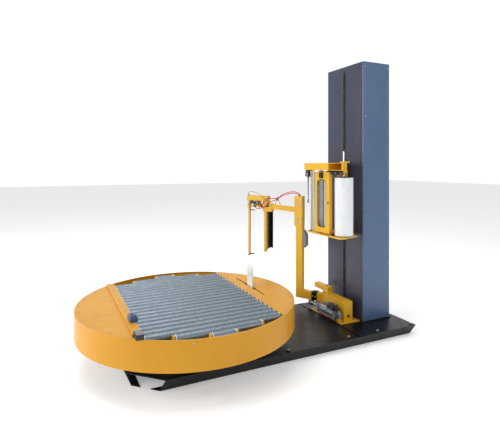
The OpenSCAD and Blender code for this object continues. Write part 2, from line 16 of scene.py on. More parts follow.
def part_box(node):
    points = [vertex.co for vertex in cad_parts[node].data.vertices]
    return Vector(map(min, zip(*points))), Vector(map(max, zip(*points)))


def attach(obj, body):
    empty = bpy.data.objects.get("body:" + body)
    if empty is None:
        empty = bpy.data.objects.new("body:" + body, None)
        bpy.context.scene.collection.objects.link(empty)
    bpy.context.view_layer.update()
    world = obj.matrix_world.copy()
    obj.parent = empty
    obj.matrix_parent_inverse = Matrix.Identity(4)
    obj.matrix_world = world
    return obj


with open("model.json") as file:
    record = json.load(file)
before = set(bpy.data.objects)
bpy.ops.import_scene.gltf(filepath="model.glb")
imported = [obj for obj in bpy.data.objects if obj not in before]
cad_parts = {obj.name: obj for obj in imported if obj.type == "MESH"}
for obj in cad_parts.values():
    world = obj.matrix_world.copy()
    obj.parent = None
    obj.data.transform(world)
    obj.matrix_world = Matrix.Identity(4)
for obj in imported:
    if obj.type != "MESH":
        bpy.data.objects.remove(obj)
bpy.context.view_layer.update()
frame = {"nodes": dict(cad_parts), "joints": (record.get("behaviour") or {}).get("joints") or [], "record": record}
NODES = frame["nodes"]
MM = 0.001
AXES = {"X": (1, 0, 0), "Y": (0, 1, 0), "Z": (0, 0, 1)}

# ---------------------------------------------------------------- places taken from the model
JOINTS = {joint["name"]: joint for joint in frame["joints"]}


def corners(node):
    """A node's lowest and highest corner, in millimetres."""
    return [[round(value / MM, 1) for value in corner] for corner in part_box(node)]


def joint_place(name):
    """A joint's place, in millimetres."""
    return tuple(round(value / MM, 1) for value in JOINTS[name]["pos_m"])


ROW = Matrix.Identity(4)
PIVOT = joint_place("arm_swing")[:2]
ARM = Matrix.Translation((*PIVOT, 0)) @ Matrix.Rotation(math.radians(120), 4, "Z")
DECK_Z = corners("deck_right")[1][2]
STRIP_Z = corners("deck_left")[1][2]
BASE_Z = corners("table_base")[1][2]
MAST_LOW, MAST_HIGH = corners("mast_covers")
MAST = dict(x0=MAST_LOW[0], x1=MAST_HIGH[0], y0=MAST_LOW[1], y1=MAST_HIGH[1], z1=MAST_HIGH[2],
            slot_y=-3)
ROLL = joint_place("film_roll_spin")[:2]
EXIT = joint_place("exit_roller_spin")[:2]
HOUSING_Z = (1418, 1482)
PLATE_Z = 846
DOOR_X = 1232
HINGE = joint_place("door_hinge")[:2]
POST_R, POST_W, POST_T = 284, 70, 45
POST_TOP = corners("top_arm")[1][2]
WIPER_R = round(math.dist(joint_place("wiper_swing")[:2], PIVOT), 1)
WIPER_HALF, WIPER_Z = 13.6, (562, 983)
CUTTER_R = 893
CYL = joint_place("cylinder_swing")
ROLLERS = 22


# ---------------------------------------------------------------- camera
def add_camera():
    cam = bpy.data.objects.new("camera", bpy.data.cameras.new("camera"))
    cam.location = (-1.002, -3.2383, 1.4616)
    cam.rotation_euler = (math.radians(90), 0, math.radians(-26.15))
    cam.data.sensor_width = 36
    cam.data.lens = 30.83
    cam.data.shift_x = -0.0121
    cam.data.shift_y = -0.1093
    cam.data.clip_end = 60
    bpy.context.scene.collection.objects.link(cam)
    bpy.context.scene.camera = cam


# ---------------------------------------------------------------- materials
def linear(r, g, b):
    """Display values from 0 to 255 as the linear colour that the shader takes."""
    return tuple((v / 12.92 if v < 0.04045 else ((v + 0.055) / 1.055) ** 2.4)
                 for v in (c / 255 for c in (r, g, b)))


class Nodes:
    """A material's node tree, with short calls for the nodes that the finishes share."""

    def __init__(self, name):
        self.material = bpy.data.materials.new(name)
        self.material.use_nodes = True
        self.tree = self.material.node_tree
        self.tree.nodes.clear()
        self.out = self.tree.nodes.new("ShaderNodeOutputMaterial")
        self.shader = self.tree.nodes.new("ShaderNodeBsdfPrincipled")
        self.link(self.shader.outputs[0], self.out.inputs[0])
        self.coords = self.tree.nodes.new("ShaderNodeTexCoord").outputs["Object"]

    def link(self, a, b):
        self.tree.links.new(a, b)

    def set(self, **values):
        for key, value in values.items():
            self.shader.inputs[key.replace("_", " ")].default_value = value

    def stretched(self, scale):
        m = self.tree.nodes.new("ShaderNodeMapping")
        m.inputs["Scale"].default_value = scale
        self.link(self.coords, m.inputs["Vector"])
        return m.outputs[0]

    def noise(self, scale, detail=3.0, rough=0.5, stretch=(1, 1, 1)):
        n = self.tree.nodes.new("ShaderNodeTexNoise")
        n.inputs["Scale"].default_value = scale
        n.inputs["Detail"].default_value = detail
        n.inputs["Roughness"].default_value = rough
        self.link(self.stretched(stretch), n.inputs["Vector"])
        return n.outputs["Fac"]

    def cells(self, scale, stretch):
        n = self.tree.nodes.new("ShaderNodeTexVoronoi")
        n.inputs["Scale"].default_value = scale
        self.link(self.stretched(stretch), n.inputs["Vector"])
        return n.outputs["Distance"]

    def ramp(self, fac, low, high, to_low=0.0, to_high=1.0):
        n = self.tree.nodes.new("ShaderNodeMapRange")
        n.inputs["From Min"].default_value = low
        n.inputs["From Max"].default_value = high
        n.inputs["To Min"].default_value = to_low
        n.inputs["To Max"].default_value = to_high
        self.link(fac, n.inputs["Value"])
        return n.outputs[0]

    def math(self, kind, a, b):
        n = self.tree.nodes.new("ShaderNodeMath")
        n.operation = kind
        for i, v in enumerate((a, b)):
            if isinstance(v, (int, float)):
                n.inputs[i].default_value = v
            else:
                self.link(v, n.inputs[i])
        return n.outputs[0]

    def mix(self, fac, a, b):
        n = self.tree.nodes.new("ShaderNodeMix")
        n.data_type = "RGBA"
        self.link(fac, n.inputs["Factor"])
        for socket, v in ((n.inputs[6], a), (n.inputs[7], b)):
            if isinstance(v, tuple):
                socket.default_value = (*v, 1)
            else:
                self.link(v, socket)
        return n.outputs[2]

    def place(self, axis):
        n = self.tree.nodes.new("ShaderNodeSeparateXYZ")
        self.link(self.coords, n.inputs[0])
        return n.outputs["XYZ".index(axis)]

    def bump(self, height, strength, distance, base=None):
        n = self.tree.nodes.new("ShaderNodeBump")
        n.inputs["Strength"].default_value = strength
        n.inputs["Distance"].default_value = distance
        self.link(height, n.inputs["Height"])
        if base is not None:
            self.link(base, n.inputs["Normal"])
        return n.outputs[0]

    def soft_edge(self, radius):
        """The normal rounded over the edges, and how far it departs from the flat one."""
        bevel = self.tree.nodes.new("ShaderNodeBevel")
        bevel.samples = 4
        bevel.inputs["Radius"].default_value = radius
        geometry = self.tree.nodes.new("ShaderNodeNewGeometry")
        dot = self.tree.nodes.new("ShaderNodeVectorMath")
        dot.operation = "DOT_PRODUCT"
        self.link(bevel.outputs[0], dot.inputs[0])
        self.link(geometry.outputs["Normal"], dot.inputs[1])
        return bevel.outputs[0], self.ramp(dot.outputs["Value"], 1.0, 0.8)


def finish(name, base, rough, shade=None, metal=0.0, wear=None, grain=(1, 1, 1), fine=900,
           bump=0.05, edge=0.0015, patch=2.2, amount=0.5, dust=None, **extra):
    """A worn surface: patches of a second shade, fine grain, uneven gloss and rubbed edges."""
    n = Nodes(name)
    n.set(Metallic=metal, **extra)
    shade = shade or tuple(0.72 * c for c in base)
    patches = n.ramp(n.noise(patch, 5, 0.6), 0.42, 0.68, 0.0, amount)
    colour = n.mix(patches, base, shade)
    speckle = n.noise(fine, 2, 0.6, grain)
    colour = n.mix(n.ramp(speckle, 0.35, 0.75, 0.0, 0.22), colour, shade)
    gloss = n.ramp(n.noise(14, 4, 0.65), 0.3, 0.7, rough * 0.82, min(1.0, rough * 1.25))
    normal, rim = n.soft_edge(edge)
    if dust is not None:
        settled = n.ramp(n.noise(9, 6, 0.7), 0.45, 0.75, 0.0, 0.55)
        colour = n.mix(settled, colour, dust)
    if wear is not None:
        rubbed = n.math("MULTIPLY", rim, n.ramp(n.noise(60, 4, 0.7), 0.5, 0.62))
        colour = n.mix(rubbed, colour, wear)
        gloss = n.math("ADD", gloss, n.math("MULTIPLY", rubbed, 0.15))
    n.link(colour, n.shader.inputs["Base Color"])
    n.link(gloss, n.shader.inputs["Roughness"])
    n.link(n.bump(speckle, bump, 0.001, normal), n.shader.inputs["Normal"])
    return n.material


PRIMER = linear(120, 105, 84)
STEEL = linear(150, 152, 156)
YELLOW = linear(226, 176, 30)
AMBER = linear(212, 158, 22)

MATERIALS = {
    "yellow_paint": finish("yellow_paint", YELLOW, 0.42, AMBER, wear=PRIMER, fine=700,
                           Coat_Weight=0.12, Coat_Roughness=0.25, Specular_IOR_Level=0.35),
    "deck_paint": finish("deck_paint", linear(208, 148, 14), 0.42, linear(194, 130, 10),
                         wear=PRIMER, fine=700, Coat_Weight=0.12, Coat_Roughness=0.25,
                         Specular_IOR_Level=0.3),
    "frame_paint": finish("frame_paint", linear(78, 79, 82), 0.5, wear=STEEL, bump=0.1),
    "black_paint": finish("black_paint", linear(15, 15, 18), 0.36, linear(9, 9, 11), wear=STEEL,
                          patch=1.4, bump=0.03, dust=linear(22, 21, 21), Coat_Weight=0.08,
                          Coat_Roughness=0.2, Specular_IOR_Level=0.22),
    "motor_paint": finish("motor_paint", linear(62, 92, 132), 0.4, wear=STEEL, bump=0.12),
    "bare_steel": finish("bare_steel", linear(168, 168, 170), 0.34, linear(120, 118, 116), 1.0,
                         grain=(1, 1, 14), bump=0.08),
    "cast_iron": finish("cast_iron", linear(84, 84, 86), 0.6, metal=0.6, fine=260, bump=0.35),
    "chrome": finish("chrome", linear(222, 222, 226), 0.1, linear(190, 190, 196), 1.0,
                     bump=0.01, amount=0.2),
    "aluminium": finish("aluminium", linear(190, 194, 198), 0.36, linear(150, 154, 158), 0.9,
                        grain=(1, 10, 10), bump=0.06),
    "white_plastic": finish("white_plastic", linear(236, 235, 232), 0.34, linear(206, 203, 196),
                            amount=0.4),
    "white_roller": finish("white_roller", linear(232, 235, 236), 0.45, linear(198, 202, 204),
                           grain=(1, 1, 0.05), fine=500),
    "grey_rubber": finish("grey_rubber", linear(96, 104, 116), 0.55, linear(64, 70, 80),
                          grain=(1, 1, 3), fine=420, bump=0.2),
    "black_rubber": finish("black_rubber", linear(34, 34, 36), 0.62, linear(52, 51, 50), bump=0.2,
                           fine=600),
    "wheel_rubber": finish("wheel_rubber", linear(178, 84, 42), 0.5, bump=0.15),
    "grey_plastic": finish("grey_plastic", linear(120, 123, 124), 0.45, bump=0.12),
    "black_plastic": finish("black_plastic", linear(28, 28, 30), 0.38, linear(40, 40, 42), bump=0.1),
    "blue_plastic": finish("blue_plastic", linear(58, 96, 150), 0.38, bump=0.1),
    "red_hose": finish("red_hose", linear(196, 44, 34), 0.3, linear(150, 26, 24), bump=0.04),
    "teal_hose": finish("teal_hose", linear(92, 132, 140), 0.32, bump=0.04),
    "grey_hose": finish("grey_hose", linear(122, 126, 130), 0.4, bump=0.06),
    "pale_hose": finish("pale_hose", linear(152, 164, 172), 0.4, bump=0.06),
    "brass": finish("brass", linear(196, 160, 92), 0.3, metal=1.0, bump=0.05),
    "zinc_bolt": finish("zinc_bolt", linear(186, 184, 172), 0.34, linear(150, 144, 126), 0.9,
                        bump=0.06),
    "cardboard": finish("cardboard", linear(176, 142, 100), 0.8, linear(150, 118, 80), bump=0.2,
                        fine=300),
    "floor": finish("floor", linear(243, 243, 243), 0.9, linear(239, 239, 239), bump=0.02,
                    fine=120, Emission_Color=(1, 1, 1, 1), Emission_Strength=0.3),
}


def zinc_roller():
    """Galvanised tube: crystal patches, fine marks round the tube and a dull sheen."""
    n = Nodes("zinc_roller")
    n.set(Metallic=0.8)
    spangle = n.ramp(n.cells(110, (0.5, 1, 1)), 0.1, 0.7)
    colour = n.mix(spangle, linear(140, 153, 162), linear(120, 133, 143))
    scuffs = n.ramp(n.noise(18, 5, 0.65, (0.15, 1, 1)), 0.52, 0.78, 0.0, 0.4)
    colour = n.mix(scuffs, colour, linear(94, 104, 113))
    n.link(colour, n.shader.inputs["Base Color"])
    n.link(n.ramp(n.noise(30, 4, 0.7), 0.3, 0.7, 0.3, 0.5), n.shader.inputs["Roughness"])
    rings = n.noise(420, 2, 0.5, (3, 0.2, 0.2))
    n.link(n.bump(rings, 0.12, 0.0006, n.soft_edge(0.002)[0]), n.shader.inputs["Normal"])
    return n.material


def mast_paint():
    """Blue side panels; the two front plates between the corner folds get a darker blue, which is painted shade
    for the darker look of the front face.
    """
    n = Nodes("mast_paint")
    n.set(Coat_Weight=0.3, Coat_Roughness=0.2)
    patches = n.ramp(n.noise(1.6, 4, 0.6), 0.4, 0.7, 0.0, 0.6)
    side = n.mix(patches, linear(72, 98, 132), linear(64, 88, 122))
    # A darker copy of the blue for the front plates: painted shade.
    front = n.mix(patches, linear(44, 47, 70), linear(38, 41, 62))
    before = n.math("LESS_THAN", n.place("X"), (MAST["x0"] + 4.5) * MM)
    inner = n.math("MULTIPLY", n.math("GREATER_THAN", n.place("Y"), (MAST["y0"] + 12.1) * MM),
                   n.math("LESS_THAN", n.place("Y"), (MAST["y1"] - 12.1) * MM))
    # The front face between the corner folds takes the darker copy: painted shade chosen by face position.
    colour = n.mix(n.math("MULTIPLY", before, inner), side, front)
    runs = n.ramp(n.noise(20, 5, 0.7, (1, 1, 0.08)), 0.5, 0.75, 0.0, 0.18)
    colour = n.mix(runs, colour, linear(96, 108, 126))
    n.link(colour, n.shader.inputs["Base Color"])
    n.link(n.ramp(n.noise(10, 4, 0.6), 0.3, 0.7, 0.32, 0.5), n.shader.inputs["Roughness"])
    peel = n.noise(500, 2, 0.5)
    n.link(n.bump(peel, 0.06, 0.001, n.soft_edge(0.003)[0]), n.shader.inputs["Normal"])
    return n.material


def stretch_film():
    """Wound film: many thin layers show as fine lines round the roll and rings on its ends."""
    n = Nodes("stretch_film")
    n.set(Subsurface_Weight=0.15, Coat_Weight=0.6, Coat_Roughness=0.15)
    layers = n.noise(90, 3, 0.6, (1, 1, 6))
    tight = n.ramp(layers, 0.35, 0.7)
    colour = n.mix(tight, linear(240, 242, 244), linear(206, 212, 218))
    n.link(colour, n.shader.inputs["Base Color"])
    n.link(n.ramp(n.noise(16, 3, 0.5, (1, 1, 0.2)), 0.3, 0.7, 0.16, 0.34),
           n.shader.inputs["Roughness"])
    n.link(n.bump(layers, 0.15, 0.0008), n.shader.inputs["Normal"])
    return n.material


MATERIALS["zinc_roller"] = zinc_roller()
MATERIALS["mast_paint"] = mast_paint()
MATERIALS["stretch_film"] = stretch_film()


def dress_nodes():
    """Every CAD node gets its slot's finish; the turntable's paint is a deeper yellow."""
    slots = {part["node"]: part["material_slot"] for part in frame["record"]["subparts"]}
    for name, node in NODES.items():
        material = MATERIALS[slots[name]]
        if name in ("table_skirt", "deck_left", "deck_right"):
            material = MATERIALS["deck_paint"]
        if not node.material_slots:
            node.data.materials.append(material)
        for slot in node.material_slots:
            slot.material = material


# ---------------------------------------------------------------- piece building
class Piece:
    """One named mesh made of closed solids, in millimetres in the frame it is given."""

    def __init__(self, name, body, material, where=ROW, slot=None):
        self.name, self.body, self.where, self.slot = name, body, where, slot
        self.materials = [material]
        self.index = 0
        self.bm = bmesh.new()

    def use(self, material):
        """Later solids take this material."""
        if material not in self.materials:
            self.materials.append(material)
        self.index = self.materials.index(material)
        return self

    def _take(self, part, matrix=None):
        for face in part.faces:
            face.material_index = self.index
        if matrix is not None:
            part.transform(matrix)
        mesh = bpy.data.meshes.new("solid")
        part.to_mesh(mesh)
        part.free()
        self.bm.from_mesh(mesh)
        bpy.data.meshes.remove(mesh)
        return self

    def box(self, lo, hi, edge=1.0):
        """A block with rounded edges."""
        part = bmesh.new()
        bmesh.ops.create_cube(part, size=1)
        size = [b - a for a, b in zip(lo, hi)]
        bmesh.ops.scale(part, vec=size, verts=part.verts)
        if edge > 0:
            bmesh.ops.bevel(part, geom=part.edges[:], offset=min(edge, 0.45 * min(size)),
                            segments=2, affect="EDGES", profile=0.5)
        centre = Vector([(a + b) / 2 for a, b in zip(lo, hi)])
        return self._take(part, Matrix.Translation(centre))

    def lathe(self, at, profile, along="Z", sides=32, hollow=False):
        """(radius, height) pairs turned about a line through at. A hollow one joins its ends."""
        part = bmesh.new()
        rings = []
        for r, h in profile:
            if r <= 0:
                rings.append([part.verts.new((0, 0, h))])
            else:
                rings.append([part.verts.new((r * math.cos(a), r * math.sin(a), h))
                              for a in (2 * math.pi * i / sides for i in range(sides))])
        pairs = list(zip(rings, rings[1:])) + ([(rings[-1], rings[0])] if hollow else [])
        for a, b in pairs:
            for i in range(sides):
                j = (i + 1) % sides
                corners = [a[i % len(a)], a[j % len(a)], b[j % len(b)], b[i % len(b)]]
                unique = list(dict.fromkeys(corners))
                if len(unique) > 2:
                    part.faces.new(unique)
        bmesh.ops.recalc_face_normals(part, faces=part.faces)
        direction = AXES[along] if isinstance(along, str) else along
        turn = Vector((0, 0, 1)).rotation_difference(Vector(direction)).to_matrix().to_4x4()
        return self._take(part, Matrix.Translation(Vector(at)) @ turn)

    def rod(self, at, r, length, along="Z", edge=0.8, sides=32):
        return self.lathe(at, [(0, 0), (r - edge, 0), (r, edge), (r, length - edge),
                               (r - edge, length), (0, length)], along, sides)

    def tube(self, at, r, inner, length, along="Z", edge=0.6, sides=32):
        return self.lathe(at, [(inner, 0), (r - edge, 0), (r, edge), (r, length - edge),
                               (r - edge, length), (inner, length)], along, sides, True)

    def bolt(self, at, size=8, along="Z"):
        """A hex head on a washer, its seat at the given point."""
        h = size * 0.2
        self.rod(at, size * 1.05, h, along, 0.3, 20)
        r = size * 0.86
        return self.lathe(at, [(0, h), (r, h), (r, h + size * 0.5), (r * 0.86, h + size * 0.6),
                               (0, h + size * 0.6)], along, 6)

    def screw(self, at, r=6, along="Z"):
        """A low domed head with a six-sided recess."""
        return self.lathe(at, [(0, -0.6), (r, -0.6), (r, 0.25 * r), (0.8 * r, 0.5 * r),
                               (0.42 * r, 0.55 * r), (0.38 * r, 0.2 * r), (0, 0.2 * r)],
                          along, 18)

    def plate(self, outline, lo, hi, along="Z", edge=0.8):
        """An outline of (u, v) points pulled from lo to hi along an axis."""
        part = bmesh.new()
        order = {"Z": (0, 1, 2), "X": (2, 0, 1), "Y": (0, 2, 1)}[along]
        low = [part.verts.new([(*p, lo)[i] for i in order]) for p in outline]
        high = [part.verts.new([(*p, hi)[i] for i in order]) for p in outline]
        part.faces.new(low)
        part.faces.new(high)
        for i in range(len(outline)):
            j = (i + 1) % len(outline)
            part.faces.new((low[i], low[j], high[j], high[i]))
        bmesh.ops.recalc_face_normals(part, faces=part.faces)
        if edge > 0:
            bmesh.ops.bevel(part, geom=part.edges[:], offset=edge, segments=2, affect="EDGES")
        return self._take(part)

    def done(self):
        self.bm.transform(Matrix.Scale(MM, 4) @ self.where)
        mesh = bpy.data.meshes.new(self.name)
        self.bm.to_mesh(mesh)
        self.bm.free()
        for name in self.materials:
            mesh.materials.append(MATERIALS[name])
        mesh.shade_smooth()
        mesh.set_sharp_from_angle(angle=math.radians(35))
        obj = bpy.data.objects.new(self.name, mesh)
        bpy.context.scene.collection.objects.link(obj)
        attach(obj, self.body)
        return obj


def smooth_route(points, steps=8):
    """A Catmull-Rom line through the points."""
    p = [Vector(q) for q in points]
    p = [2 * p[0] - p[1], *p, 2 * p[-1] - p[-2]]
    line = []
    for a, b, c, d in zip(p, p[1:], p[2:], p[3:]):
        for s in range(steps):
            t = s / steps
            line.append(0.5 * (2 * b + (c - a) * t + (2 * a - 5 * b + 4 * c - d) * t * t
                               + (3 * b - a - 3 * c + d) * t ** 3))
    return [*line, p[-2]]


def line_piece(name, body, points, thick, material, where=ROW, sides=3, closed=False):
    """A round line through the points: a hose, wire or rubber edging."""
    curve = bpy.data.curves.new(name, "CURVE")
    curve.dimensions = "3D"
    curve.bevel_depth = thick / 2 * MM
    curve.bevel_resolution = sides
    curve.use_fill_caps = True
    spline = curve.splines.new("POLY")
    spline.points.add(len(points) - 1)
    placed = [(where @ Vector(q)) * MM for q in points]
    for target, q in zip(spline.points, placed):
        target.co = (*q, 1)
    spline.use_cyclic_u = closed
    spline.use_smooth = True
    curve.materials.append(MATERIALS[material])
    obj = bpy.data.objects.new(name, curve)
    bpy.context.scene.collection.objects.link(obj)
    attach(obj, body)
    return obj, placed


def hose(name, body, points, thick, material, where=ROW, steps=8):
    """A free hose or cable, held at both ends, drawn through the points."""
    route = smooth_route(points, steps) if steps else [Vector(q) for q in points]
    obj, placed = line_piece(name, body, route, thick, material, where)
    return obj


# ---------------------------------------------------------------- hoses and cables
def add_hoses():
    hose("hose_post", "arm", [(284, 0, 1150), (289, 0, 1176), (312, 0, 1190), (345, 2, 1197),
                              (398, 4, 1193), (470, 8, 1170), (538, 12, 1130), (590, 22, 1122),
                              (630, 36, 1122), (668, 42, 1106), (700, 40, 1070),
                              (714, 36, 1046), (726, 26, 1038)],
         8, "red_hose", ARM)
    hose("hose_head", "arm", [(284, 6, 1150), (291, 9, 1170), (316, 12, 1180), (350, 13, 1184),
                              (400, 14, 1178), (470, 16, 1155), (538, 12, 1117),
                              (590, 24, 1096), (628, 40, 1072), (660, 44, 1046),
                              (700, 42, 1022), (760, 40, 1010), (792, 36, 1018),
                              (802, 26, 1032)],
         8, "red_hose", ARM)
    hose("cable_head", "arm", [(898, 8, 1152), (900, 9, 1166), (884, 12, 1178), (850, 16, 1184),
                               (800, 22, 1178), (750, 30, 1162), (706, 38, 1142),
                               (672, 42, 1112), (652, 40, 1076), (648, 34, 1052)],
         5, "grey_hose", ARM)
    turns, per_turn, coil_r, top, low = 30, 12, 9.5, 1352, 1142
    count = per_turn * turns
    angles = [2 * math.pi * i / per_turn for i in range(count + 1)]
    helix = [(1238 + coil_r * math.cos(a), 196 - 12 * i / count + coil_r * math.sin(a),
              top + (low - top) * i / count) for i, a in enumerate(angles)]
    hose("cable_sensor", "carriage", helix, 5, "pale_hose", steps=0)
    hose("hose_cylinder", "cylinder", [(1290, 72, 106), (1290, 71, 96), (1288, 56, 92),
                                       (1284, 20, 90), (1282, -30, 90), (1284, -80, 92),
                                       (1288, -112, 96), (1290, -128, 106)],
         8, "red_hose")
    hose("hose_valve", "cylinder", [(1272, -140, 198), (1262, -139, 202), (1252, -124, 196),
                                    (1250, -90, 178), (1252, -20, 150), (1256, 40, 142),
                                    (1262, 72, 142), (1272, 78, 142)],
         8, "teal_hose")


# ---------------------------------------------------------------- turntable
def add_table():
    screws = Piece("deck_screws", "table", "zinc_bolt", slot="bare_steel")
    for degrees in range(0, 360, 12):
        x, y = 800 * math.cos(math.radians(degrees)), 800 * math.sin(math.radians(degrees))
        if abs(x) > 500:
            screws.screw((x, y, DECK_Z), 7)
    for y in range(-560, 600, 140):
        screws.screw((-506, y, STRIP_Z), 6)
        if abs(y) < 560:
            screws.screw((496, y, DECK_Z), 7)
    screws.done()

    box = Piece("bed_sensor", "table", "blue_plastic", slot="motor_paint")
    box.box((-512, -390, STRIP_Z), (-462, -288, STRIP_Z + 34), 3)
    box.use("black_plastic").box((-508, -382, STRIP_Z + 34), (-466, -344, STRIP_Z + 38), 1.5)
    box.rod((-487, -318, STRIP_Z + 33), 11, 4)
    box.use("zinc_bolt")
    for y in (-384, -294):
        box.screw((-506, y, STRIP_Z + 34), 3.5).screw((-468, y, STRIP_Z + 34), 3.5)
    box.done()
    box = Piece("bed_junction", "table", "black_plastic")
    box.box((-526, -668, DECK_Z), (-478, -574, DECK_Z + 30), 3)
    box.use("grey_plastic").box((-522, -664, DECK_Z + 30), (-482, -578, DECK_Z + 33), 1.5)
    box.tube((-502, -574, DECK_Z + 15), 9, 4, 16, "Y")
    box.use("zinc_bolt")
    for x in (-517, -487):
        for y in (-658, -584):
            box.screw((x, y, DECK_Z + 33), 3)
    box.done()

    for i in range(1, ROLLERS + 1):
        name = f"roller_{i:02d}"
        lo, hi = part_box(name)
        y, z = (lo.y + hi.y) / 2 / MM, (lo.z + hi.z) / 2 / MM
        half = hi.x / MM - 15
        caps = Piece(f"roller_caps_{i:02d}", name, "white_plastic", slot="white_plastic")
        ring = [(8.6, 0), (27, 0), (30.4, 1.2), (30.4, 5), (29.2, 6.6), (27, 4), (12, 3.4),
                (8.6, 4.4)]
        for side in (-1, 1):
            caps.lathe((side * (half - 4), y, z), ring, (side, 0, 0), 32, True)
        caps.done()

    skirt = Piece("skirt_screws", "table", "zinc_bolt", slot="yellow_paint")
    for degrees in range(15, 360, 30):
        a = math.radians(degrees)
        skirt.screw((824 * math.cos(a), 824 * math.sin(a), 404), 6,
                    (math.cos(a), math.sin(a), 0))
    skirt.done()

    pad = Piece("clamp_pad", "clamp", "white_plastic", slot="white_plastic")
    x0, y0 = 570, 80
    for side in (-1, 1):
        pad.use("white_plastic")
        pad.lathe((x0 + side * 4, y0, 562.5), [(0, -0.5), (49, -0.5), (50, 0.4), (47.5, 1.4),
                                               (0, 1.8)], (side, 0, 0), 48)
        pad.use("zinc_bolt")
        for z in (400, 430):
            pad.screw((x0 + side * 4, y0, z), 7, (side, 0, 0))
    pad.done()


# ---------------------------------------------------------------- base and drive
def add_base():
    bolts = Piece("base_bolts", "base", "black_paint", slot="bare_steel")
    for x in (1255, 1303):
        for y in range(-470, 400, 96):
            bolts.bolt((x, y, BASE_Z), 6)
    for x, y in ((-470, -250), (-470, 150), (0, -480), (620, -480), (1180, -480), (1480, -480),
                 (1850, -480), (1850, 380), (1480, 380), (620, 380), (0, 380)):
        bolts.use("black_plastic").rod((x, y, BASE_Z), 17, 5, edge=1.2)
        bolts.use("zinc_bolt").bolt((x, y, BASE_Z + 4), 11)
    bolts.done()

    seam = Piece("base_seam", "base", "black_paint", slot="black_paint")
    seam.box((1268, -509, BASE_Z - 0.5), (1278, 406, BASE_Z + 5), 1)
    seam.box((1280, -509, BASE_Z - 0.5), (1290, 406, BASE_Z + 5), 1)
    seam.done()

    motor = Piece("gearmotor_details", "base", "motor_paint", slot="motor_paint")
    motor.box((420, -30, 170), (500, 30, 196), 4)
    motor.use("black_plastic").rod((590, 0, 128), 50, 34, "X", 4, 40)
    motor.tube((596, 0, 128), 52, 46, 3, "X")
    motor.use("zinc_bolt")
    for y in (-50, 50):
        for x in (262, 300, 380):
            motor.bolt((x, y, 170), 7)
    motor.done()

    hub = Piece("hub_bolts", "base", "zinc_bolt", slot="bare_steel")
    for i in range(8):
        a = math.radians(22.5 + 45 * i)
        hub.bolt((92 * math.cos(a), 92 * math.sin(a), 96), 8)
    hub.done()

    feet = Piece("bracket_bolts", "base", "zinc_bolt", slot="bare_steel")
    for degrees in (60, 180, 300):
        turn = Matrix.Rotation(math.radians(degrees), 4, "Z")
        for y in (-38, 38):
            for x in (418, 442):
                feet.bolt(turn @ Vector((x, y, BASE_Z + 8)), 6)
    feet.done()


